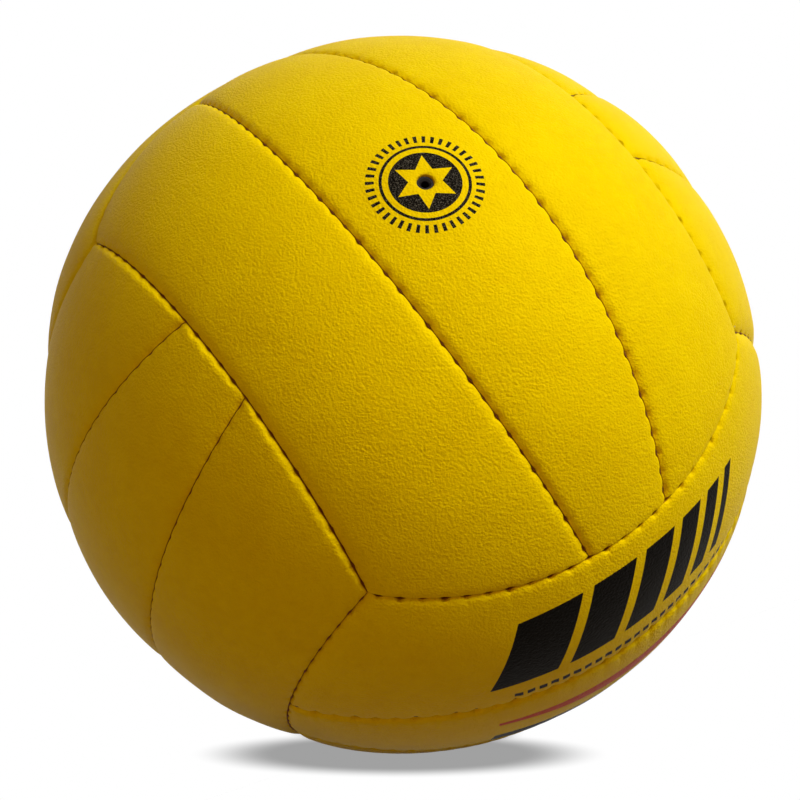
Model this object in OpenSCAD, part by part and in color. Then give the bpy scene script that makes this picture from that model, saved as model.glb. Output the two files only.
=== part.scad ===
// Indoor volleyball, hand stitched: six faces of three leather strips over a butyl bladder.
// Millimetres. The origin is the ball's centre, +Z is up as the ball lies, and -Y is its front.

/* [Ball] */
// Outside diameter of the inflated ball
ball_d = 210; // [200:1:220]
// Width of each face's middle strip at mid-length, along the surface
middle_strip_w = 43; // [36:0.5:48]

/* [Lie] */
// First turn of the seam net, about X
lie_x = 43.1; // [-180:0.1:180]
// Second turn of the seam net, about Y
lie_y = 43.6; // [-180:0.1:180]
// Third turn of the seam net, about Z
lie_z = -33; // [-180:0.1:180]

/* [Cover] */
// Thickness of the synthetic leather
leather_t = 1.2; // [0.9:0.1:1.5]
// Thickness of the foam and cloth backing bonded under it
backing_t = 2.2; // [1.8:0.1:3]
// Radius of a panel's rolled edge along its strip
edge_r = 1.8; // [1.6:0.1:2.6]
// How much wider a strip's short ends are rolled, where three panels are drawn together
end_roll = 0.3; // [0.2:0.1:0.5]
// Gap between the facing lips of two panels
seam_gap = 0.1; // [0.06:0.02:0.2]
// Clearance between pieces that are bonded or pressed together
bond_gap = 0.05; // [0.02:0.01:0.1]

/* [Stitching] */
// Diameter of the waxed thread
thread_d = 0.6; // [0.4:0.05:0.75]
// Distance from one stitch to the next
stitch_pitch = 5; // [4.5:0.25:8]
// Length of each stitch that shows in the seam
stitch_len = 3; // [2:0.1:3.4]

/* [Bladder] */
// Wall of the butyl bladder
bladder_t = 1; // [0.6:0.1:1.6]

/* [Valve] */
// Diameter of the hole in the valve panel
valve_hole_d = 4; // [3.6:0.1:4.6]
// Depth of the valve core's top below the leather's face
core_recess = 0.6; // [0.3:0.1:1]
// Diameter of the needle channel in the core
needle_d = 2; // [1.6:0.1:2.4]
// Depth of the countersink that leads the needle in
lead_in = 0.5; // [0.2:0.1:0.8]
// Diameter of the foot that locks the core in its housing
foot_d = 6; // [5.4:0.1:6.6]
// Length of that foot
foot_len = 3; // [2:0.5:4]
// Outside diameter of the housing's neck and barrel
housing_d = 9; // [8.4:0.1:11]
// Length of the barrel inside the flange
barrel_len = 13; // [10:0.5:18]
// Thickness of the barrel's end wall
barrel_end_t = 1.5; // [1:0.1:2.5]
// Diameter of the air hole through that end wall, which the needle comes out of
barrel_hole_d = 3.2; // [2.8:0.1:4]
// Diameter of the flange under the bladder wall
flange_d = 24; // [18:0.5:30]
// Thickness of that flange
flange_t = 1.2; // [0.8:0.1:2]
// Diameter of the cloth patch round the neck
patch_d = 34; // [28:0.5:36]
// Thickness of that patch
patch_t = 0.6; // [0.4:0.1:0.8]

/* [Hidden] */
$fn = 144;
ball_r = ball_d / 2;

// Every face ends where a cone about one coordinate axis of the net meets the ball.
// The three cones through a cube's corner give this half-angle.
face_polar = acos(1 / sqrt(3));
// Turn of a face's inner seams from its centre line
inner_turn = middle_strip_w / 2 / ball_r * 180 / PI;
// Half of the angle that an inner seam and a long side run over
inner_half_run = acos(cos(face_polar) / cos(inner_turn));
side_half_run = 45;

// Radii of the shells, from the outside in
leather_in_r = ball_r - leather_t;
backing_r = leather_in_r - bond_gap;
lining_r = backing_r - backing_t;
bladder_r = lining_r - bond_gap;
bladder_in_r = bladder_r - bladder_t;
flange_r = bladder_in_r - bond_gap;
flange_in_r = flange_r - flange_t;

// A rolled edge is an arc that runs a little past both of the faces it joins,
// so it meets each in a faint crease. Its centre lies this far from the seam and below the skin.
edge_overrun = 0.96;
function roll_depth(roll_r) = edge_overrun * roll_r;
function roll_u(roll_r) = seam_gap / 2 + roll_depth(roll_r);
end_r = edge_r + end_roll;

// The thread lies in the seam's valley and bears on both rolled edges.
thread_r = thread_d / 2;
thread_orbit = ball_r - roll_depth(edge_r) + sqrt((edge_r + thread_r + bond_gap) ^ 2 - roll_u(edge_r) ^ 2);

// Valve, measured along its axis from the ball's centre
core_r = valve_hole_d / 2 - bond_gap;
core_top = ball_r - core_recess;
foot_r = foot_d / 2;
housing_r = housing_d / 2;
neck_top = sqrt(backing_r ^ 2 - housing_r ^ 2);
barrel_end = flange_in_r - barrel_len;
foot_end = barrel_end + barrel_end_t + bond_gap;
foot_top = foot_end + foot_len;
needle_r = needle_d / 2;
mouth_r = (needle_r + core_r) / 2;

// Cutting solids start at this radius, well inside the shells, and reach this far past what they cut.
// Valleys run this many degrees past a seam's ends.
cut_from_r = ball_r * 0.4;
margin = 2;
valley_overrun = 5;
// Angle across a face that lies past its long sides
past_side = 60;

leather_colour = "#E6C600";
backing_colour = "#E7E0CF";
thread_colour = "#8A6A24";
bladder_colour = "#1D1D1F";
housing_colour = "#3A3A3C";
core_colour = "#141414";
patch_colour = "#CFC7B4";

FACES = ["front", "bottom", "right", "back", "top", "left"];
STRIPS = [-1, 0, 1];
function panel_name(face, strip) = str(FACES[face], "_panel_", strip + 2);
function backing_name(face, strip) = str(FACES[face], "_backing_", strip + 2);
function thread_name(face) = str(FACES[face], "_seam_thread");

// The front face's middle strip carries the valve.
function has_valve(face, strip) = face == 0 && strip == 0;

// The whole net as the ball lies
module lie() {
    rotate([lie_x, lie_y, lie_z]) children();
}

// One face's own frame: Z out through its middle, X along its strips, Y across them.
// The second three faces lie opposite the first three.
module on_face(face) {
    lie() rotate(120 * (face % 3), [1, 1, 1]) rotate([face < 3 ? 0 : 180, 0, 0]) children();
}

// Frame of a seam that runs along the strips: its circle is about Z, and X points at its middle.
module along_seam(side, turn) {
    rotate([0, 0, 90 - 90 * side]) rotate([-turn, 0, 0]) rotate(240, [1, 1, 1]) children();
}

// Ball with its poles beyond the ends of the strips
module ball(r) {
    rotate([0, 90, 0]) sphere(r);
}

// Solid cone about Z out to the surface, moved along its axis until its side lies set_back further in.
// Its point is cut off well inside the shells.
module seam_cone(set_back) {
    high = ball_r + margin;
    rotate([0, 0, 90])
        translate([0, 0, cut_from_r + set_back / sin(face_polar)])
            cylinder(h = high - cut_from_r, r1 = cut_from_r * tan(face_polar), r2 = high * tan(face_polar));
}

// Bar along X that holds everything from one angle across the face to another, less set_back at both
module strip_wedge(from, to, set_back) {
    far = (ball_r + margin) / cos((to - from) / 2);
    function corner(r, angle, shift) = r * [sin(angle), cos(angle)] + shift * [cos(angle), -sin(angle)];
    rotate([90, 0, 90])
        linear_extrude(2 * ball_r, center = true)
            polygon([
                corner(cut_from_r, from, set_back),
                corner(far, from, set_back),
                corner(far, to, -set_back),
                corner(cut_from_r, to, -set_back)
            ]);
}

// Valley along one arc about Z, with the panel edges rolled over on both sides of it; X points at its middle
module seam_valley(polar, half_run, roll_r, inset) {
    half = half_run + valley_overrun;
    u = roll_u(roll_r);
    depth = roll_depth(roll_r);
    rotate([0, 0, -half])
        rotate_extrude(angle = 2 * half)
            rotate(-polar)
                difference() {
                    translate([-u, ball_r - depth]) square([2 * u, depth + margin]);
                    for (side = [-1, 1])
                        translate([side * u, ball_r - depth]) circle(roll_r - inset);
                }
}

// Cuts one end seam's valley out of a strip
module roll_end(end, inset) {
    difference() {
        children();
        rotate([0, 0, end]) seam_valley(face_polar, side_half_run, end_r, inset);
    }
}

// Cuts the valley of an inner seam out of a strip
module roll_inner(side, inset) {
    difference() {
        children();
        along_seam(side, inner_turn) seam_valley(90, inner_half_run, edge_r, inset);
    }
}

// Cuts a face's long side and its valley out of a strip
module roll_long_side(side, set_back, inset) {
    difference() {
        difference() {
            children();
            along_seam(side, 0) seam_cone(-set_back);
        }
        along_seam(side, 0) seam_valley(face_polar, side_half_run, edge_r, inset);
    }
}

// Piece of a spherical shell between two angles across the face, as long as the face
module shell_strip(from, to, set_back, outer_r, inner_r) {
    intersection() {
        difference() {
            ball(outer_r);
            ball(inner_r);
        }
        strip_wedge(from, to, set_back);
        seam_cone(set_back);
    }
}

// One strip of a face as a padded shell: set back from the ball's skin and its seams, with rolled edges
module pad(strip, inset, inner_r) {
    set_back = seam_gap / 2 + inset;
    roll_end(0, inset) roll_end(180, inset)
        if (strip == 0)
            roll_inner(-1, inset) roll_inner(1, inset)
                shell_strip(-inner_turn, inner_turn, set_back, ball_r - inset, inner_r);
        else
            roll_long_side(strip, set_back, inset) roll_inner(strip, inset)
                rotate([0, 0, 90 - 90 * strip])
                    shell_strip(inner_turn, past_side, set_back, ball_r - inset, inner_r);
}

// Straight hole along the valve's axis, from the bladder outwards
module valve_hole(d) {
    translate([0, 0, bladder_in_r - margin]) cylinder(h = ball_r, d = d);
}

// Leather strip whose rim turns in all round, open underneath for its backing
module panel(face, strip) {
    color(leather_colour) on_face(face)
        difference() {
            pad(strip, 0, lining_r);
            pad(strip, leather_t, lining_r - margin);
            if (has_valve(face, strip)) valve_hole(valve_hole_d);
        }
}

// Foam and cloth pad that fills a leather strip
module backing(face, strip) {
    color(backing_colour) on_face(face)
        difference() {
            pad(strip, leather_t + bond_gap, lining_r);
            if (has_valve(face, strip)) {
                valve_hole(housing_d + 2 * bond_gap);
                patch_solid(patch_d / 2 + bond_gap, lining_r - margin, lining_r + patch_t + bond_gap);
            }
        }
}

// Row of stitches along one seam circle, half a pitch clear of both of its ends
module stitches(polar, half_run) {
    orbit = thread_orbit * sin(polar);
    count = floor(2 * half_run * PI / 180 * orbit / stitch_pitch);
    step = 2 * half_run / count;
    sweep = stitch_len / orbit * 180 / PI;
    for (i = [0 : count - 1])
        rotate([0, 0, -half_run + (i + 0.5) * step - sweep / 2])
            rotate_extrude(angle = sweep)
                translate([orbit, thread_orbit * cos(polar)])
                    circle(thread_r, $fn = 24);
}

// The thread of the four seams that run along one face: two inside it and its two long sides
module seam_thread(face) {
    color(thread_colour) on_face(face)
        for (side = [-1, 1]) {
            along_seam(side, inner_turn) stitches(90, inner_half_run);
            along_seam(side, 0) stitches(face_polar, side_half_run);
        }
}

// Air bladder, pierced by the valve's neck
module bladder() {
    color(bladder_colour) on_face(0)
        difference() {
            ball(bladder_r);
            ball(bladder_in_r);
            valve_hole(housing_d + 2 * bond_gap);
        }
}

// Round piece of a shell about the valve's axis
module patch_solid(r, from_r, to_r) {
    rotate_extrude()
        intersection() {
            difference() {
                circle(to_r);
                circle(from_r);
            }
            square([r, ball_r]);
        }
}

// Cloth patch that backs the leather round the neck, let into the foam
module valve_patch() {
    color(patch_colour) on_face(0)
        difference() {
            patch_solid(patch_d / 2, lining_r, lining_r + patch_t);
            valve_hole(housing_d + 2 * bond_gap);
        }
}

// Moulded rubber housing: neck through the bladder, flange seated under its wall and a barrel inside
module valve_housing() {
    stem_hole_r = core_r + bond_gap;
    chamber_r = foot_r + bond_gap;
    color(housing_colour) on_face(0)
        difference() {
            union() {
                translate([0, 0, barrel_end]) cylinder(h = neck_top - barrel_end, r = housing_r);
                patch_solid(flange_d / 2, flange_in_r, flange_r);
            }
            translate([0, 0, foot_top]) cylinder(h = ball_r, r = stem_hole_r);
            translate([0, 0, barrel_end + barrel_end_t])
                cylinder(h = foot_top + bond_gap - barrel_end - barrel_end_t, r = chamber_r);
            translate([0, 0, barrel_end - margin]) cylinder(h = barrel_len, d = barrel_hole_d);
        }
}

// Soft plug with the needle channel: its foot locks in the housing and its top fills the hole in the leather
module valve_core() {
    color(core_colour) on_face(0)
        rotate_extrude()
            polygon([
                [needle_r, foot_end],
                [foot_r, foot_end],
                [foot_r, foot_top],
                [core_r, foot_top],
                [core_r, core_top],
                [mouth_r, core_top],
                [needle_r, core_top - lead_in]
            ]);
}

for (f = [0 : 5]) {
    for (s = STRIPS) {
        panel(f, s);
        backing(f, s);
    }
    seam_thread(f);
}
bladder();
valve_housing();
valve_core();
valve_patch();
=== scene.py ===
# Looks of a hand-stitched indoor volleyball: leather strips, waxed thread and a rubber valve.
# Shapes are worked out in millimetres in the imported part's own frame, and become metres in the meshes.
import math
from collections import namedtuple

import bmesh
import bpy
import numpy as np
from mathutils import Matrix, Vector


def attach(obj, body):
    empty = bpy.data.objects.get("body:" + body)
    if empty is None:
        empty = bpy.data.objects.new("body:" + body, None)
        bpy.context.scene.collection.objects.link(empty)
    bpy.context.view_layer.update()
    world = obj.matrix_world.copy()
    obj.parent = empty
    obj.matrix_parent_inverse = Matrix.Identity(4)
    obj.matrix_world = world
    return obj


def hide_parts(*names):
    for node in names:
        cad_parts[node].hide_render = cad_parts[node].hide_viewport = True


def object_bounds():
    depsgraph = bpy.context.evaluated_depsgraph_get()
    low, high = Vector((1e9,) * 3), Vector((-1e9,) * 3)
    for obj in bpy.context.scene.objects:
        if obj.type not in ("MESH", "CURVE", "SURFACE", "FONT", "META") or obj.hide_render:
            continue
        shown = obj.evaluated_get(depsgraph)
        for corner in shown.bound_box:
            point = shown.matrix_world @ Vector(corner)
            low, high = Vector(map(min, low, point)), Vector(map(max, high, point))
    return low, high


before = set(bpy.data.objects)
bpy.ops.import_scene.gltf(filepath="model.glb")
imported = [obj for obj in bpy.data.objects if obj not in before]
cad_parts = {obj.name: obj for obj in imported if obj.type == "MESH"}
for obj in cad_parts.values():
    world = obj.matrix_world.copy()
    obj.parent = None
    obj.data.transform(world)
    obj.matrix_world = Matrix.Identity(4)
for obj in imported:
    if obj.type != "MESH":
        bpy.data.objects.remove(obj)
cad_low, cad_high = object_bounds()

# Sizes of the ball
MM = 0.001
BALL_R = (cad_high.x - cad_low.x) / 2 / MM
MIDDLE_STRIP_W = 43.0
LEATHER_T = 1.2
SEAM_GAP = 0.05
VALVE_HOLE_R = 2.0

# Turns of the seam net about X, Y and Z, in degrees
LIE = {"X": 43.1, "Y": 43.6, "Z": -33.0}
FACES = ("front", "bottom", "right", "back", "top", "left")
STRIPS = (-1, 0, 1)
VALVE_STRIP = ("front", 0)

# A face ends on circles at this share of the radius from the ball's middle,
# and its inner seams turn this far from the face's middle line
FACE_LEVEL = 1 / math.sqrt(3)
INNER_TURN = MIDDLE_STRIP_W / 2 / BALL_R
INNER_HALF_RUN = math.acos(FACE_LEVEL / math.cos(INNER_TURN))
SIDE_HALF_RUN = math.pi / 4

# A strip is crowned: its middle stands proud of the ball's round, and it falls away towards its seams
CROWN_RISE = 0.35
CROWN_DEPTH = 0.9
CROWN_REACH = 9.0
# Some strips are filled out more than the others, by this many millimetres
FULLER = {("top", -1): 1.3, ("bottom", -1): 0.7, ("right", 0): 0.35}
# Slow unevenness of the stuffed cover: wavelength and height of each set of waves, and the waves in a set
UNEVEN = ((46, 0.035), (29, 0.025), (17, 0.015))
WAVES_IN_SET = 4

# Edge of a strip: depth and reach of the soft shoulder towards the seam, its share of the crown's fall,
# how hard the stitches pull pits into it, the depth of their puckers and how far each draws its lip back
Edge = namedtuple("Edge", "depth reach crown pull pucker opening")
PLAIN_EDGE = Edge(0.6, 2.5, 1.0, 0.8, 0.08, 0.2)
OWN_EDGES = {
    ("front", "inner"): Edge(0.65, 2.5, 1.0, 0.9, 0.09, 0.18),
    ("front", "long"): Edge(0.7, 3.5, 1.0, 0.4, 0.04, 0.1),
    ("front", "end"): Edge(0.25, 2.5, 0.4, 0.3, 0.03, 0.08),
    ("bottom", "inner"): Edge(0.8, 2.5, 0.8, 1.6, 0.65, 0.6),
    ("bottom", "end"): Edge(1.0, 5.0, 1.0, 0.8, 0.08, 0.2),
    ("bottom", "long"): Edge(0.7, 2.5, 0.5, 0.4, 0.15, 0.85),
    ("right", "long"): Edge(1.1, 6.0, 1.0, 0.8, 0.08, 0.2),
    ("right", "end"): Edge(0.6, 5.0, 1.3, 0.9, 0.1, 0.8),
    ("top", "long"): Edge(0.9, 3.0, 1.0, 0.8, 0.08, 0.2),
    ("left", "inner"): Edge(0.6, 2.5, 1.0, 0.4, 0.04, 0.06),
    ("left", "long"): Edge(0.6, 2.5, 1.0, 0.45, 0.04, 0.1),
    ("left", "end"): Edge(1.0, 1.9, 0.25, 0.6, 0.12, 0.3),
}
# Tight roll at the lip
LIP_REACH = 0.12
LIP_DEPTH = 0.2
# Pit and pucker of a stitch: depth, length along the seam and reach from it; and those of the drawn lip
PIT_DEPTH = 0.6
PIT_LEN = 0.9
PIT_REACH = 0.55
PUCKER_REACH = 3.0
LIP_LEN = 1.0
OPENING_REACH = 1.0
# Some stitches hold tighter than others, by this share, and this turn of a wave spreads them
HOLD_SPREAD = 0.3
HOLD_TURN = 2.4
# Painted shade darkens the lips this far from the seam
SEAM_SHADE_REACH = 0.1

# The turned-in rim of a strip: how deep it hangs, where its inner side ends, and where it has rounded over
# into the underside, this much further in
RIM_DEPTH = 3.4
RIM_INNER_DEPTH = 1.7
RIM_ROUND_DEPTH = 1.25
RIM_ROUND = 0.3
# Rings round the valve's hole: share of the way out to the square that holds it, and depth
VALVE_RINGS = ((0.6, 0.0), (0.35, 0.02), (0.2, 0.08), (0.1, 0.2), (0.04, 0.4), (0, 0.75), (0, LEATHER_T))
# They stand proud by this share of the crown
VALVE_CROWN = 0.6

# Stitches and their two-ply thread
STITCH_PITCH = 5.0
STITCH_LEN = 3.0
THREAD_R = 0.3
THREAD_DEPTH = 1.65
# How much deeper a stitch's ends are than its middle
THREAD_DIVE = 1.1
# Spread of the stitches' lengths, and of their slant in thread radii
LEN_SPREAD = (0.9, 1.06)
SLANT_SPREAD = 0.08
THREAD_SEED = 100
# The plies: their mean radius and bulge in thread radii, and the angle between a stitch's middle and its end
PLY_R = 0.94
PLY_BULGE = 0.13
PLY_TWIST = 4.4

# Rows of the mesh near a seam, in millimetres from it, and the even spacing elsewhere
EDGE_ROWS = (0, 0.03, 0.07, 0.12, 0.25, 0.45, 0.75, 1.15, 1.65, 2.3, 3.1, 4.2, 5.6)
STEP_ALONG = 0.55
STEP_ACROSS = 0.65
# The underside has one row for this many on the outside, and starts this far from the seam
COARSE = 4
INSIDE_INSET = 2.5
# The square that holds the valve's hole reaches this many of the underside's rows from its middle
VALVE_SQUARE = 2
# Rings along a stitch and points round each
THREAD_RINGS = 15
THREAD_SIDES = 10

Seam = namedtuple("Seam", "axis level middle run half_run edge")


def turned(axis, degrees):
    return np.array(Matrix.Rotation(math.radians(degrees), 3, axis))


def face_frame(face):
    """Axes of a face as columns: along its strips, across them and out of the ball."""
    index = FACES.index(face)
    lie = turned("Z", LIE["Z"]) @ turned("Y", LIE["Y"]) @ turned("X", LIE["X"])
    corner = turned(Vector((1, 1, 1)).normalized(), 120 * (index % 3))
    return lie @ corner @ turned("X", 0 if index < 3 else 180)


def unit(vectors):
    return vectors / np.linalg.norm(vectors, axis=-1, keepdims=True)


def middle_strip(along, across):
    turn = across * INNER_TURN
    run = along * np.arccos(FACE_LEVEL / np.cos(turn))
    return np.stack([np.sin(run), np.cos(run) * np.sin(turn), np.cos(run) * np.cos(turn)], -1)


def outer_strip(along, across, side):
    """Patch between an inner seam, a long side and the two ends."""
    share = (across + 1) / 2
    ahead = (along + 1) / 2
    end_r = math.sqrt(1 - FACE_LEVEL**2)
    first = math.asin(math.cos(INNER_HALF_RUN) * math.sin(INNER_TURN) / end_r)

    def inner(u):
        return middle_strip(u, 1)

    def long_side(u):
        run = u * SIDE_HALF_RUN
        return np.stack([end_r * np.sin(run), np.full_like(run, FACE_LEVEL), end_r * np.cos(run)], -1)

    def end(way, w):
        run = first + w * (SIDE_HALF_RUN - first)
        return np.stack([way * end_r * np.cos(run), end_r * np.sin(run), np.full_like(run, FACE_LEVEL)], -1)

    along, share, ahead = np.broadcast_arrays(along, share, ahead)
    s, a = share[..., None], ahead[..., None]
    ruled = (1 - s) * inner(along) + s * long_side(along)
    ruled += (1 - a) * end(-1, share) + a * end(1, share)
    ones = np.ones_like(along)
    for way, weight in ((-1, 1 - a), (1, a)):
        ruled -= weight * ((1 - s) * inner(way * ones) + s * long_side(way * ones))
    return unit(ruled) * np.array([side, side, 1])


def strip_points(strip, along, across):
    """Directions from the ball's centre to a strip's points, in its face's frame."""
    if strip == 0:
        return middle_strip(along, across)
    return outer_strip(along, across, strip)


def strip_seams(face, strip):
    """The seams round a strip, its ends' first. Each is a circle about an axis that points into the strip."""
    along, across, out = np.eye(3)
    sides = (-1, 1) if strip == 0 else (strip,)
    inward = -1 if strip == 0 else 1
    edges = {kind: OWN_EDGES.get((face, kind), PLAIN_EDGE) for kind in ("inner", "long", "end")}
    seams = [Seam(out, FACE_LEVEL, along, across, SIDE_HALF_RUN, edges["end"])]
    for side in sides:
        axis = inward * (side * math.cos(INNER_TURN) * across - math.sin(INNER_TURN) * out)
        middle = side * math.sin(INNER_TURN) * across + math.cos(INNER_TURN) * out
        seams.append(Seam(axis, 0.0, middle, along, INNER_HALF_RUN, edges["inner"]))
    if strip:
        seams.append(Seam(-strip * across, -FACE_LEVEL, out, along, SIDE_HALF_RUN, edges["long"]))
    return seams


def stitch_count(seam):
    orbit = (BALL_R - THREAD_DEPTH) * math.sqrt(1 - seam.level**2)
    return math.floor(2 * seam.half_run * orbit / STITCH_PITCH)


def seam_place(seam, points):
    """Distance of points from a seam and from the nearest stitch along it, and how tight that stitch is."""
    distance = BALL_R * (np.arcsin(np.clip(points @ seam.axis, -1, 1)) - math.asin(seam.level))
    run = np.arctan2(points @ seam.run, np.abs(points @ seam.middle))
    pitches = (run + seam.half_run) / (2 * seam.half_run) * stitch_count(seam) - 0.5
    nearest = np.round(pitches)
    hold = 1 + HOLD_SPREAD * np.sin(HOLD_TURN * nearest)
    return distance, np.abs(pitches - nearest) * STITCH_PITCH, hold


def rolled(distance, edge):
    """Depth of a strip's edge: a shoulder that steepens towards the seam, and a quarter oval at the lip."""
    fall = np.clip(1 - distance / edge.reach, 0, 1) ** 2
    turn = np.clip(1 - distance / LIP_REACH, 0, 1)
    return edge.depth * fall + LIP_DEPTH * (1 - np.sqrt(1 - turn**2))


def drawn_in(points, seams, lip):
    """Points moved away from the seams near them, by lip at a seam and less further in."""
    moved = points.copy()
    for seam in seams:
        distance, along, hold = seam_place(seam, points)
        opening = lip + seam.edge.opening * hold * np.exp(-((along / LIP_LEN) ** 2))
        slope = unit(seam.axis - (points @ seam.axis)[..., None] * points)
        amount = opening * np.exp(-((distance / OPENING_REACH) ** 2)) / BALL_R
        moved += amount[..., None] * slope
    return unit(moved)


def skin_depth(points, seams, fuller):
    """Depth of the leather's face below the ball's round, from its crown and its seams' rolls and pits."""
    cubes = 0
    for seam in seams:
        distance, along, hold = seam_place(seam, points)
        near_stitch = hold * np.exp(-((along / PIT_LEN) ** 2))
        pit = near_stitch * PIT_DEPTH * seam.edge.pull * np.exp(-((distance / PIT_REACH) ** 2))
        pucker = near_stitch * seam.edge.pucker * np.exp(-distance / PUCKER_REACH)
        crown = (CROWN_DEPTH * seam.edge.crown + fuller) * np.exp(-distance / CROWN_REACH)
        cubes += (rolled(distance, seam.edge) + pit + pucker + crown) ** 3
    return np.cbrt(cubes) - CROWN_RISE - fuller


def undulation(points, seed):
    """Slow unevenness of the stuffed cover, in millimetres, about zero."""
    draw = np.random.default_rng(seed)
    height = np.zeros(points.shape[:-1])
    for wavelength, amount in UNEVEN:
        for _ in range(WAVES_IN_SET):
            wave = draw.normal(size=3)
            wave *= 2 * math.pi / wavelength / np.linalg.norm(wave)
            height += amount * np.sin(BALL_R * points @ wave + draw.uniform(0, 2 * math.pi))
    return height


def seam_shading(points, seams):
    """How much painted shade darkens the leather, from 0 to 1: only along the lips of its seams."""
    return np.max([np.exp(-((seam_place(seam, points)[0] / SEAM_SHADE_REACH) ** 2)) for seam in seams], axis=0)


def graded(length, step):
    """Places from -1 to 1 along a length: the edge rows at both ends and even steps between."""
    half = length / 2
    inner = half - EDGE_ROWS[-1]
    count = round(2 * inner / step)
    # The underside's rows have to fit in evenly on both sides of the middle
    count += -(count + 2 * len(EDGE_ROWS) - 2) % (2 * COARSE)
    middle = np.linspace(-inner, inner, count + 1)
    ends = half - np.array(EDGE_ROWS[:-1])
    return np.concatenate([-ends, middle, ends[::-1]]) / half


def loop_round(index, i0, i1, j0, j1):
    """Entries round a rectangle of a grid, in order."""
    sides = index[i0:i1, j0], index[i1, j0:j1], index[i1:i0:-1, j1], index[i0, j1:j0:-1]
    return np.concatenate(sides)


class Shell:
    """A closed skin that grows from grids and rings of points."""

    def __init__(self):
        self.points, self.soils, self.faces, self.count = [], [], [], 0

    def add(self, directions, depth, soil):
        depth = np.broadcast_to(depth, directions.shape[:-1])
        self.points.append(((BALL_R - depth)[..., None] * directions).reshape(-1, 3))
        self.soils.append(np.broadcast_to(soil, depth.shape).reshape(-1))
        start = self.count
        self.count += depth.size
        return np.arange(start, self.count).reshape(depth.shape)

    def grid(self, index, hole=None):
        quads = np.stack([index[:-1, :-1], index[1:, :-1], index[1:, 1:], index[:-1, 1:]], -1)
        keep = np.ones(quads.shape[:2], bool)
        if hole:
            keep[hole[0] : hole[1], hole[2] : hole[3]] = False
        self.faces.extend(quads[keep].tolist())

    def band(self, ring, next_ring):
        quads = np.stack([ring, np.roll(ring, -1), np.roll(next_ring, -1), next_ring], -1)
        self.faces.extend(quads.tolist())

    def gathered(self, ring, coarse_ring):
        """Faces from a fine ring to one with fewer points, as the underside has."""
        for k, point in enumerate(coarse_ring):
            fine = [int(ring[(COARSE * k + n) % len(ring)]) for n in range(COARSE + 1)]
            self.faces.append([*fine, int(coarse_ring[(k + 1) % len(coarse_ring)]), int(point)])


def new_object(name, face, points, polygons, material):
    """Object from points in a face's frame, in millimetres, with all its faces turned outwards."""
    mesh = bpy.data.meshes.new(name)
    mesh.from_pydata((points @ face_frame(face).T * MM).tolist(), [], polygons)
    mesh.polygons.foreach_set("use_smooth", np.ones(len(polygons), bool))
    mesh.materials.append(material)
    mesh.update()
    work = bmesh.new()
    work.from_mesh(mesh)
    bmesh.ops.recalc_face_normals(work, faces=work.faces[:])
    work.to_mesh(mesh)
    work.free()
    made = bpy.data.objects.new(name, mesh)
    bpy.context.scene.collection.objects.link(made)
    return made


def leather_strip(name, face, strip, material):
    """One strip of the cover: a face with rolled, puckered edges, a rim that turns in and an underside."""
    seams = strip_seams(face, strip)
    length = 2 * BALL_R * INNER_HALF_RUN
    along, across = graded(length, STEP_ALONG), graded(MIDDLE_STRIP_W, STEP_ACROSS)
    flat = strip_points(strip, along[:, None], across[None, :])
    outside = drawn_in(flat, seams, SEAM_GAP / 2)
    seed = FACES.index(face) * len(STRIPS) + strip + 1
    depth = skin_depth(flat, seams, FULLER.get((face, strip), 0))
    depth = depth + undulation(outside, seed) * np.clip(1 - depth / CROWN_DEPTH, 0, 1)
    shell = Shell()
    index = shell.add(outside, depth, seam_shading(flat, seams))
    last_u, last_v = len(along) - 1, len(across) - 1
    hole = None
    if (face, strip) == VALVE_STRIP:
        half = VALVE_SQUARE * COARSE
        mid_u, mid_v = last_u // 2, last_v // 2
        hole = (mid_u - half, mid_u + half, mid_v - half, mid_v + half)
    shell.grid(index, hole)

    # The rim goes straight down into the seam, is as thick as the leather and comes up again inside
    rim = loop_round(index, 0, last_u, 0, last_v)
    rim_points = loop_round(flat, 0, last_u, 0, last_v)
    outer_inset = SEAM_GAP / 2
    inner_inset = outer_inset + LEATHER_T
    rings = (
        (outer_inset, RIM_DEPTH),
        (inner_inset, RIM_DEPTH),
        (inner_inset, RIM_INNER_DEPTH),
        (inner_inset + RIM_ROUND, RIM_ROUND_DEPTH),
    )
    # Points of the rim and of the underside get full painted shade
    for inset, ring_depth in rings:
        ring = shell.add(drawn_in(rim_points, seams, inset), ring_depth, 1)
        shell.band(rim, ring)
        rim = ring
    inside_u = np.linspace(-1, 1, last_u // COARSE + 1) * (1 - 2 * INSIDE_INSET / length)
    inside_v = np.linspace(-1, 1, last_v // COARSE + 1) * (1 - 2 * INSIDE_INSET / MIDDLE_STRIP_W)
    inside = strip_points(strip, inside_u[:, None], inside_v[None, :])
    inner = shell.add(inside, LEATHER_T, 1)
    shell.gathered(rim, loop_round(inner, 0, len(inside_u) - 1, 0, len(inside_v) - 1))
    inner_hole = [n // COARSE for n in hole] if hole else None
    shell.grid(inner, inner_hole)
    if hole:
        square = loop_round(outside, *hole)[:, :2] * BALL_R
        valve_hole(shell, square, loop_round(index, *hole), loop_round(inner, *inner_hole))

    made = new_object(name, face, np.concatenate(shell.points), shell.faces, material)
    # Each point keeps its share of painted shade for the leather's material
    soil = made.data.attributes.new("soil", "FLOAT", "POINT")
    soil.data.foreach_set("value", np.concatenate(shell.soils).astype(np.float32))
    return made


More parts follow.
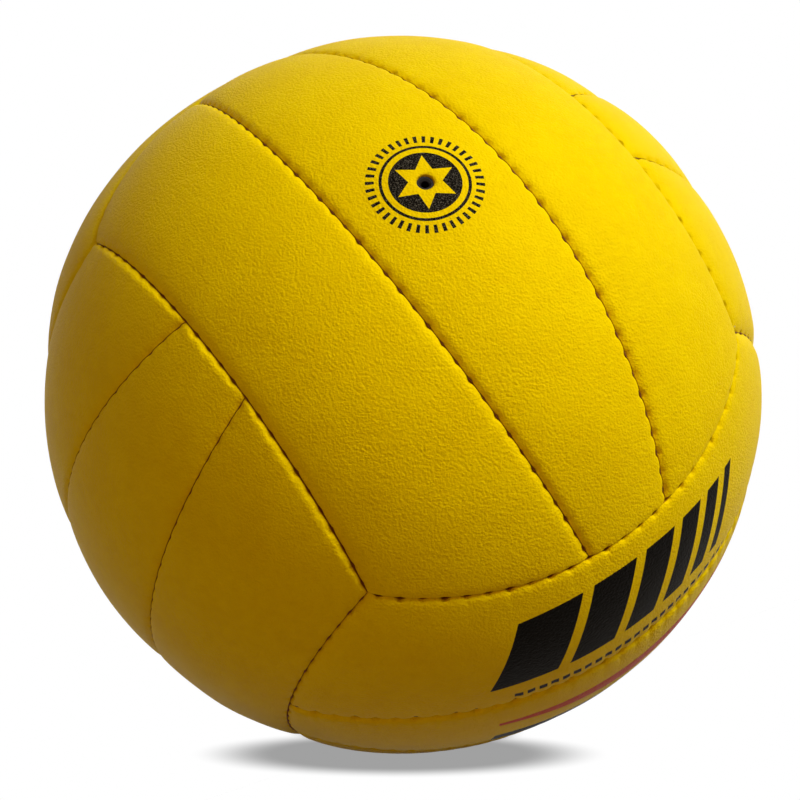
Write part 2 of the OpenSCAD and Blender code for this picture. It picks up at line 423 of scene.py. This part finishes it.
def valve_hole(shell, square, ring, inner_ring):
    """Round hole with a soft rim, between a square of points in the outer face and one in the underside."""
    far = np.linalg.norm(square, axis=1, keepdims=True)
    crown = CROWN_RISE * VALVE_CROWN
    for share, depth in VALVE_RINGS:
        flat = square / far * (VALVE_HOLE_R + share * (far - VALVE_HOLE_R))
        lifted = np.concatenate([flat, np.sqrt(BALL_R**2 - (flat**2).sum(1, keepdims=True))], 1)
        # The hole's walls darken with depth in painted shade
        next_ring = shell.add(unit(lifted), depth - crown * (depth < LEATHER_T), depth / LEATHER_T)
        shell.band(ring, next_ring)
        ring = next_ring
    shell.gathered(ring, inner_ring)


def stitch(seam, centre, half, slant):
    """Rings of points along one stitch: a twisted two-ply length whose ends dive into the leather."""
    reach = np.linspace(-1, 1, THREAD_RINGS)
    turn = np.linspace(0, 2 * math.pi, THREAD_SIDES, endpoint=False)
    radius = math.sqrt(1 - seam.level**2)
    run = centre + reach * half
    spine = np.cos(run)[:, None] * (seam.middle * radius) + np.sin(run)[:, None] * seam.run * radius
    spine = spine + seam.level * seam.axis
    cross = unit(np.cross(spine, np.gradient(spine, axis=0)))
    depth = THREAD_DEPTH + THREAD_DIVE * np.abs(reach) ** 3
    spine = spine * (BALL_R - depth)[:, None] + cross * (slant * reach * THREAD_R)[:, None]
    ahead = unit(np.gradient(spine, axis=0))
    up = unit(np.cross(cross, ahead))
    ply = 1 + PLY_BULGE * np.cos(2 * (turn[None, :] - PLY_TWIST * reach[:, None]))
    round_it = np.cos(turn)[None, :, None] * cross[:, None] + np.sin(turn)[None, :, None] * up[:, None]
    return spine[:, None] + THREAD_R * PLY_R * ply[..., None] * round_it


def stitching(name, face, material):
    """Thread of the four seams that run along a face."""
    draw = np.random.default_rng(THREAD_SEED + FACES.index(face))
    index = np.arange(THREAD_RINGS * THREAD_SIDES).reshape(THREAD_RINGS, THREAD_SIDES)
    quads = np.stack([index[:-1], np.roll(index[:-1], -1, 1), np.roll(index[1:], -1, 1), index[1:]], -1)
    stitches, polygons = [], []
    for strip in (-1, 1):
        # The seam at the ends belongs to the faces beside this one
        for seam in strip_seams(face, strip)[1:]:
            count = stitch_count(seam)
            orbit = BALL_R * math.sqrt(1 - seam.level**2)
            for k in range(count):
                centre = (-1 + 2 * (k + 0.5) / count) * seam.half_run
                half = STITCH_LEN / 2 * draw.uniform(*LEN_SPREAD) / orbit
                slant = draw.normal(0, SLANT_SPREAD)
                start = len(stitches) * index.size
                polygons.extend((start + quads).reshape(-1, 4).tolist())
                polygons.extend((start + index[[0, -1]]).tolist())
                stitches.append(stitch(seam, centre, half, slant))
    return new_object(name, face, np.concatenate(stitches).reshape(-1, 3), polygons, material)


# Materials

def linear(code):
    """Linear colour from an sRGB hex value."""
    parts = [int(code[k : k + 2], 16) / 255 for k in (1, 3, 5)]
    return (*(c / 12.92 if c <= 0.04045 else ((c + 0.055) / 1.055) ** 2.4 for c in parts), 1)


def add(tree, kind, sockets=None, **settings):
    """Adds a node, sets it up, links or sets its inputs, and returns its outputs."""
    made = tree.nodes.new("ShaderNode" + kind)
    for name, value in settings.items():
        setattr(made, name, value)
    for key, value in (sockets or {}).items():
        if isinstance(value, bpy.types.NodeSocket):
            tree.links.new(value, made.inputs[key])
        else:
            made.inputs[key].default_value = value
    return made.outputs


def new_material(name):
    made = bpy.data.materials.new(name)
    made.use_nodes = True
    made.node_tree.nodes.clear()
    return made, made.node_tree


def per_mm(size):
    """Pattern scale that makes one cell of a texture this many millimetres wide, in object coordinates."""
    return 1 / (size * MM)


# Prints

INK_BLACK = "#060505"
INK_RED = "#CC4704"
# How far ink greys on high creases, as worn ink does; the amount is a painted glint, most on the valve's mark
# where the key light's highlight falls
VALVE_WEAR_GLINT = 0.4
FAINT_WEAR_GLINT = 0.03


def face_place(tree, face):
    """Places along a face, across it and out of it, in millimetres from the ball's middle."""
    place = add(tree, "TexCoord")["Object"]
    axes = face_frame(face).T
    spots = [add(tree, "VectorMath", {0: place, 1: axis}, operation="DOT_PRODUCT")["Value"] for axis in axes]
    return [add(tree, "Math", {0: spot, 1: 1 / MM}, operation="MULTIPLY")[0] for spot in spots]


def bottom_place(tree):
    """Places along the bottom face and, round the ball, across it."""
    x, y, z = face_place(tree, "bottom")
    turn = add(tree, "Math", {0: y, 1: z}, operation="ARCTAN2")[0]
    return x, add(tree, "Math", {0: turn, 1: BALL_R}, operation="MULTIPLY")[0]


def within(tree, *ranges):
    """Mask of the points where each value lies between its low and high limit. None leaves a side open."""
    mask = 1
    for value, low, high in ranges:
        for limit, test in ((low, "GREATER_THAN"), (high, "LESS_THAN")):
            if limit is not None:
                passed = add(tree, "Math", {0: value, 1: limit}, operation=test)[0]
                mask = add(tree, "Math", {0: mask, 1: passed}, operation="MULTIPLY")[0]
    return mask


STAR_TIP_R = 7.75
STAR_NOTCH_R = 4.0
STAR_POINTS = 6
STAR_TURN = math.radians(28.5)
DISC_R = 8.65
RING_R = (10.1, 10.85)
TICK_R = (11.9, 14.0)
TICKS = 40
# Share of its pitch that a tick fills
TICK_FILL = 0.42


def valve_mark(tree):
    """Star in a disc, a thin ring and a row of ticks round the valve."""
    x, y, _ = face_place(tree, "front")
    flat = add(tree, "CombineXYZ", {"X": x, "Y": y})[0]
    radius = add(tree, "VectorMath", {0: flat}, operation="LENGTH")["Value"]
    angle = add(tree, "Math", {0: y, 1: x}, operation="ARCTAN2")[0]
    turned_angle = add(tree, "Math", {0: angle, 1: STAR_TURN}, operation="SUBTRACT")[0]
    # Every side of the star folds onto the line from a tip to the next notch
    half_point = math.pi / STAR_POINTS
    fold = add(tree, "Math", {0: turned_angle, 1: half_point}, operation="PINGPONG")[0]
    cosine = add(tree, "Math", {0: fold}, operation="COSINE")[0]
    sine = add(tree, "Math", {0: fold}, operation="SINE")[0]
    notch = STAR_NOTCH_R * np.array([math.cos(half_point), math.sin(half_point)])
    normal = np.array([notch[1], STAR_TIP_R - notch[0]])
    reach = add(tree, "Math", {0: cosine, 1: normal[0]}, operation="MULTIPLY")[0]
    reach = add(tree, "Math", {0: sine, 1: normal[1], 2: reach}, operation="MULTIPLY_ADD")[0]
    reach = add(tree, "Math", {0: reach, 1: radius}, operation="MULTIPLY")[0]
    disc = within(tree, (radius, None, DISC_R), (reach, STAR_TIP_R * normal[0], None))
    ring = within(tree, (radius, *RING_R))
    half_tick = math.pi / TICKS
    tick = add(tree, "Math", {0: angle, 1: half_tick}, operation="PINGPONG")[0]
    ticks = within(tree, (tick, None, half_tick * TICK_FILL), (radius, *TICK_R))
    return [(mask, INK_BLACK, VALVE_WEAR_GLINT) for mask in (disc, ring, ticks)]


BAR_WIDTHS = (17, 13, 10, 7.5, 5.5, 3.5)
BAR_GAP = 3.2
BAR_START = -39
BAR_ACROSS = (33, 57)
BAR_SLANT = 0.42
DASH_ACROSS = (25.5, 27.5)
DASH_PITCH = 3.1
# Share of its pitch that half a dash fills
DASH_FILL = 0.33


def side_print(tree):
    """Slanted bars that narrow along the strip, over a row of small dashes."""
    x, across = bottom_place(tree)
    slanted = add(tree, "Math", {0: across, 1: -BAR_SLANT, 2: x}, operation="MULTIPLY_ADD")[0]
    slanted = add(tree, "Math", {0: slanted, 1: BAR_SLANT * sum(BAR_ACROSS) / 2}, operation="ADD")[0]
    bars, start = 0, BAR_START
    for width in BAR_WIDTHS:
        bar = within(tree, (slanted, start, start + width))
        bars = add(tree, "Math", {0: bars, 1: bar}, operation="MAXIMUM")[0]
        start += width + BAR_GAP
    band = within(tree, (across, *BAR_ACROSS))
    bars = add(tree, "Math", {0: bars, 1: band}, operation="MULTIPLY")[0]
    dash = add(tree, "Math", {0: x, 1: DASH_PITCH / 2}, operation="PINGPONG")[0]
    row = (x, BAR_START, start - BAR_GAP)
    dashes = within(tree, (dash, None, DASH_PITCH * DASH_FILL), (across, *DASH_ACROSS), row)
    return [(mask, INK_BLACK, FAINT_WEAR_GLINT) for mask in (bars, dashes)]


STRIPE_RED = (1.5, 9.5)
STRIPE_BLACK = (-15, -4)
STRIPE_HALF_LEN = 42
# The red stripe tapers to this width at one end
STRIPE_TIP_W = 2.0


def stripe_print(tree):
    """One red stripe that tapers towards one end, and one black stripe, along the strip."""
    x, across = bottom_place(tree)
    row = (x, -STRIPE_HALF_LEN, STRIPE_HALF_LEN)
    low, high = STRIPE_RED
    taper = {"Value": x, "From Min": -STRIPE_HALF_LEN, "From Max": 0}
    taper.update({"To Min": high - STRIPE_TIP_W, "To Max": low})
    red_edge = add(tree, "MapRange", taper)[0]
    red = within(tree, row, (across, red_edge, high))
    black = within(tree, row, (across, *STRIPE_BLACK))
    return [(red, INK_RED, FAINT_WEAR_GLINT), (black, INK_BLACK, FAINT_WEAR_GLINT)]


LEATHER = "#F6D800"
LEATHER_DEEP = "#F0CF00"
LEATHER_SHEEN = "#FFD820"
# Colour of the painted shade along the seams, in the rim and in the valve's hole
SEAM_SHADE = "#A06C10"
# Grey that the ink takes on high creases: wear, and painted glints
INK_WEAR_GLINT = "#A8A08C"
# Patterns in the leather, in millimetres: pebbles of its embossing, creases on them and the heights of both,
# how far and how wide the rows of pebbles wander, and patches of thinner coat
PEBBLE = 0.62
PEBBLE_HEIGHT = 0.18
CREASE = 0.3
CREASE_HEIGHT = 0.15
WANDER = 0.6
WANDER_W = 3
PATCH = 14
# Sum of the patterns over which the colour deepens, and the roughness between creases and on them
MOTTLE = (1.2, 1.8)
LEATHER_ROUGH = (0.34, 0.54)
# Height of the creases where the ink greys with wear and painted glints, and the ink's own roughness
WEAR_GLINT_CREASES = (0.5, 0.75)
INK_ROUGH = 0.42


def microfibre_leather(name, print_marks=None):
    """Coated microfibre leather, embossed: dense yellow, soft sheen, with painted shade along its seams' lips
    and where an edge turns in.
    """
    made, tree = new_material(name)
    place = add(tree, "TexCoord")["Object"]
    wander = add(tree, "TexNoise", {"Vector": place, "Scale": per_mm(WANDER_W), "Detail": 2})
    warp = {"Factor": WANDER * MM, "A": place, "B": wander["Color"]}
    warped = add(tree, "Mix", warp, data_type="VECTOR")[1]
    cells = {"Vector": warped, "Scale": per_mm(PEBBLE), "Randomness": 1}
    pebble = add(tree, "TexVoronoi", cells, feature="SMOOTH_F1")[0]
    fine = {"Vector": place, "Scale": per_mm(CREASE), "Detail": 3, "Roughness": 0.6}
    crease = add(tree, "TexNoise", fine)["Fac"]
    patch = add(tree, "TexNoise", {"Vector": place, "Scale": per_mm(PATCH), "Detail": 3})["Fac"]
    creased = add(tree, "Bump", {"Height": crease, "Strength": 1, "Distance": CREASE_HEIGHT * MM})[0]
    relief = {"Height": pebble, "Strength": 1, "Distance": PEBBLE_HEIGHT * MM, "Normal": creased}
    grain = add(tree, "Bump", relief, invert=True)[0]
    mottle = add(tree, "Math", {0: wander["Fac"], 1: crease}, operation="ADD")[0]
    mottle = add(tree, "Math", {0: mottle, 1: patch}, operation="ADD")[0]
    shade = add(tree, "MapRange", {"Value": mottle, "From Min": MOTTLE[0], "From Max": MOTTLE[1]})[0]
    coat = {"Factor": shade, "A": linear(LEATHER), "B": linear(LEATHER_DEEP)}
    colour = add(tree, "Mix", coat, data_type="RGBA")[2]
    gloss = {"Value": crease, "To Min": LEATHER_ROUGH[0], "To Max": LEATHER_ROUGH[1]}
    rough = add(tree, "MapRange", gloss)[0]
    # Ink greys on high creases: partly wear, partly painted glints of the key light
    for mask, ink, wear_glint in print_marks(tree) if print_marks else ():
        high = {"Value": crease, "From Min": WEAR_GLINT_CREASES[0], "From Max": WEAR_GLINT_CREASES[1], "To Max": wear_glint}
        wear_glint_share = add(tree, "MapRange", high)[0]
        wear_glint_mix = {"Factor": wear_glint_share, "A": linear(ink), "B": linear(INK_WEAR_GLINT)}
        inked = add(tree, "Mix", wear_glint_mix, data_type="RGBA")[2]
        colour = add(tree, "Mix", {"Factor": mask, "A": colour, "B": inked}, data_type="RGBA")[2]
        rough = add(tree, "Mix", {"Factor": mask, "A": rough, "B": INK_ROUGH})[0]
    # Painted shade along the seams' lips, the rim and the valve's hole
    soil = add(tree, "Attribute", attribute_name="soil")["Fac"]
    colour = add(tree, "Mix", {"Factor": soil, "A": colour, "B": linear(SEAM_SHADE)}, data_type="RGBA")[2]
    shader = add(tree, "BsdfPrincipled", {
        "Base Color": colour,
        "Roughness": rough,
        "Normal": grain,
        "Metallic": 0.03,
        "IOR": 1.5,
        "Specular IOR Level": 0.015,
        "Specular Tint": linear(LEATHER_SHEEN),
    })[0]
    add(tree, "OutputMaterial", {"Surface": shader})
    return made


THREAD_DARK = "#5A3418"
THREAD_TAN = "#8A5A30"
THREAD_SHEEN = "#C89A60"
# Fibres of the thread and their height, in millimetres
FIBRE = 0.25
FIBRE_HEIGHT = 0.05


def waxed_thread():
    """Waxed polyester thread, two-ply: tan, soiled in the seam, with a faint shine on its turns."""
    made, tree = new_material("waxed_thread")
    place = add(tree, "TexCoord")["Object"]
    fibre = add(tree, "TexNoise", {"Vector": place, "Scale": per_mm(FIBRE), "Detail": 2})["Fac"]
    dye = {"Factor": fibre, "A": linear(THREAD_DARK), "B": linear(THREAD_TAN)}
    colour = add(tree, "Mix", dye, data_type="RGBA")[2]
    fuzz = add(tree, "Bump", {"Height": fibre, "Strength": 0.5, "Distance": FIBRE_HEIGHT * MM})[0]
    shader = add(tree, "BsdfPrincipled", {
        "Base Color": colour,
        "Roughness": 0.6,
        "Normal": fuzz,
        "Specular IOR Level": 0.12,
        "Specular Tint": linear(THREAD_SHEEN),
    })[0]
    add(tree, "OutputMaterial", {"Surface": shader})
    return made


# How far the roughness of the pieces under the cover varies either way
SPECK_ROUGH = 0.08


def grained(name, light, dark, grain, roughness, height):
    """A plain stuff with specks of this size and height in millimetres, for the pieces under the cover."""
    made, tree = new_material(name)
    place = add(tree, "TexCoord")["Object"]
    speck = add(tree, "TexNoise", {"Vector": place, "Scale": per_mm(grain), "Detail": 4})["Fac"]
    colour = add(tree, "Mix", {"Factor": speck, "A": linear(dark), "B": linear(light)}, data_type="RGBA")[2]
    spread = {"Value": speck, "To Min": roughness - SPECK_ROUGH, "To Max": roughness + SPECK_ROUGH}
    rough = add(tree, "MapRange", spread)[0]
    bump = add(tree, "Bump", {"Height": speck, "Strength": 0.6, "Distance": height * MM})[0]
    shader = add(tree, "BsdfPrincipled", {
        "Base Color": colour,
        "Roughness": rough,
        "Normal": bump,
        "Specular IOR Level": 0.2,
    })[0]
    add(tree, "OutputMaterial", {"Surface": shader})
    return made


# Pieces

plain_leather = microfibre_leather("microfibre_leather")
printed = {
    VALVE_STRIP: microfibre_leather("microfibre_leather_valve_mark", valve_mark),
    ("bottom", 1): microfibre_leather("microfibre_leather_bars", side_print),
    ("bottom", 0): microfibre_leather("microfibre_leather_stripes", stripe_print),
}
thread = waxed_thread()

for face in FACES:
    for number, strip in enumerate(STRIPS, 1):
        material = printed.get((face, strip), plain_leather)
        panel = leather_strip(f"{face}_leather_{number}", face, strip, material)
        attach(panel, "root")
        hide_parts(f"{face}_panel_{number}")
    stitches = stitching(f"{face}_stitching", face, thread)
    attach(stitches, "root")
    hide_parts(f"{face}_seam_thread")

# Under the cover: foam on cloth is off-white, matt and grainy; butyl rubber is dark grey with a dull shine;
# moulded rubber is near black and smoother; and a glued cotton patch is drab and matt
foam = grained("foam_on_cloth", "#EFE8D8", "#D8CFBC", grain=0.8, roughness=0.85, height=0.06)
butyl = grained("butyl_rubber", "#26262A", "#151517", grain=1.5, roughness=0.55, height=0.03)
valve_rubber = grained("moulded_valve_rubber", "#1E1916", "#0E0B0A", grain=0.6, roughness=0.4, height=0.02)
patch_cloth = grained("glued_cotton_patch", "#D8D0BE", "#B9AF98", grain=0.5, roughness=0.9, height=0.05)
finishes = {
    "bladder": butyl,
    "valve_patch": patch_cloth,
    "valve_core": valve_rubber,
    "valve_housing": valve_rubber,
}
for name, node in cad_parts.items():
    finish = foam if "_backing_" in name else finishes.get(name)
    if finish:
        node.data.materials.clear()
        node.data.materials.append(finish)


# Floor, light and camera

WHITE = (1, 1, 1, 1)
FLOOR_W = 60
FLOOR_BOUNCE = "#7C6C58"
# The soft shadow in front of the ball: its middle and half sizes on the floor in millimetres, where its edge
# starts and ends in shares of those, and how light it is
SHADOW_MIDDLE = Vector((-1.0, -17.7, 0))
SHADOW_HALF = Vector((51.3, 16.4, 1))
SHADOW_EDGE = (0.72, 1.22)
SHADOW_LIGHT = 0.356
# Close to the ball the floor darkens: how far it looks for the ball, in millimetres, and how open it is
# where that starts and ends
CONTACT_REACH = 8
CONTACT_OPEN = (0.2, 0.6)


def seen_itself(tree):
    """1 for rays that show the stage itself: from the camera, and from glossy and clear surfaces."""
    path = add(tree, "LightPath")
    seen = add(tree, "Math", {0: path["Is Camera Ray"], 1: path["Is Glossy Ray"]}, operation="MAXIMUM")[0]
    return add(tree, "Math", {0: seen, 1: path["Is Transmission Ray"]}, operation="MAXIMUM")[0]


def matt_white_paper():
    """Matt white paper: plain white with the ball's soft shadow, and a low warm bounce back onto the ball."""
    made, tree = new_material("matt_white_paper")
    bounce = add(tree, "BsdfDiffuse", {"Color": linear(FLOOR_BOUNCE)})[0]
    place = add(tree, "TexCoord")["Object"]
    spot = add(tree, "VectorMath", {0: place, 1: SHADOW_MIDDLE * MM}, operation="SUBTRACT")[0]
    spread = add(tree, "VectorMath", {0: spot, 1: SHADOW_HALF * MM}, operation="DIVIDE")[0]
    away = add(tree, "VectorMath", {0: spread}, operation="LENGTH")["Value"]
    edge = {"Value": away, "From Min": SHADOW_EDGE[0], "From Max": SHADOW_EDGE[1], "To Min": SHADOW_LIGHT}
    cast = add(tree, "MapRange", edge, interpolation_type="SMOOTHSTEP")[0]
    sky = add(tree, "AmbientOcclusion", {"Distance": CONTACT_REACH * MM}, samples=16)["AO"]
    closing = {"Value": sky, "From Min": CONTACT_OPEN[0], "From Max": CONTACT_OPEN[1], "To Min": SHADOW_LIGHT}
    near = add(tree, "MapRange", closing)[0]
    light = add(tree, "Math", {0: cast, 1: near}, operation="MINIMUM")[0]
    pale = add(tree, "Emission", {"Color": WHITE, "Strength": light})[0]
    mixed = add(tree, "MixShader", {0: seen_itself(tree), 1: bounce, 2: pale})[0]
    add(tree, "OutputMaterial", {"Surface": mixed})
    return made


bpy.ops.mesh.primitive_plane_add(size=FLOOR_W, location=(0, 0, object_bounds()[0].z))
floor = bpy.context.object
floor.name = "studio_floor"
floor.data.materials.append(matt_white_paper())

# A white backdrop, and a dim warm light from all round
WORLD_WARM = "#FFAA60"
WORLD_STRENGTH = 0.07
world = bpy.data.worlds.new("studio")
bpy.context.scene.world = world
world.use_nodes = True
world_tree = world.node_tree
world_tree.nodes.clear()
around = add(world_tree, "Background", {"Color": linear(WORLD_WARM), "Strength": WORLD_STRENGTH})[0]
backdrop = add(world_tree, "Background", {"Color": WHITE, "Strength": 1.0})[0]
surroundings = add(world_tree, "MixShader", {0: seen_itself(world_tree), 1: around, 2: backdrop})[0]
add(world_tree, "OutputWorld", {"Surface": surroundings})


def aim(made, direction, distance):
    """Puts an object this far from the ball's middle, looking at it, and into the scene."""
    outward = Vector(direction).normalized()
    made.location = outward * distance
    made.rotation_euler = (-outward).to_track_quat("-Z", "Y").to_euler()
    bpy.context.scene.collection.objects.link(made)


def softbox(name, direction, distance, size, watts, colour):
    """Square lamp that shines at the ball's middle, with its distance and size in metres."""
    lamp = bpy.data.lights.new(name, "AREA")
    lamp.size = size
    lamp.energy = watts
    lamp.color = linear(colour)[:3]
    aim(bpy.data.objects.new(name, lamp), direction, distance)


softbox("key_softbox", (0.57, -0.38, 0.73), distance=1.4, size=0.5, watts=19.4, colour="#FFFFFF")
softbox("left_fill", (-0.85, -0.45, 0.25), distance=1.5, size=1.2, watts=2.0, colour="#F4FFF0")
softbox("back_fill", (0, 1, 0.07), distance=1.5, size=0.8, watts=6.0, colour="#FFFFFF")
softbox("low_fill", (-0.2, -0.95, 0.05), distance=1.5, size=0.8, watts=3.5, colour="#FFAE62")

# Camera at the photograph's viewing angle: its distance in ball radii,
# and the middle and radius of the ball's circle in a frame of this many pixels
IMAGE_W = 800
CAMERA_DISTANCE = 3.66
CAMERA_ELEVATION = math.radians(4)
BALL_CIRCLE = (402.6, 394.2, 358.0)
SENSOR_W = 36
CLIP_START = 0.01

lens = bpy.data.cameras.new("camera")
focal_pixels = BALL_CIRCLE[2] * math.sqrt(CAMERA_DISTANCE**2 - 1)
lens.sensor_width = SENSOR_W
lens.lens = SENSOR_W * focal_pixels / IMAGE_W
lens.shift_x = (IMAGE_W / 2 - BALL_CIRCLE[0]) / IMAGE_W
lens.shift_y = (BALL_CIRCLE[1] - IMAGE_W / 2) / IMAGE_W
lens.clip_start = CLIP_START
camera = bpy.data.objects.new("camera", lens)
camera_side = (0, -math.cos(CAMERA_ELEVATION), math.sin(CAMERA_ELEVATION))
aim(camera, camera_side, CAMERA_DISTANCE * BALL_R * MM)
bpy.context.scene.camera = camera
bpy.context.scene.view_settings.view_transform = "Standard"
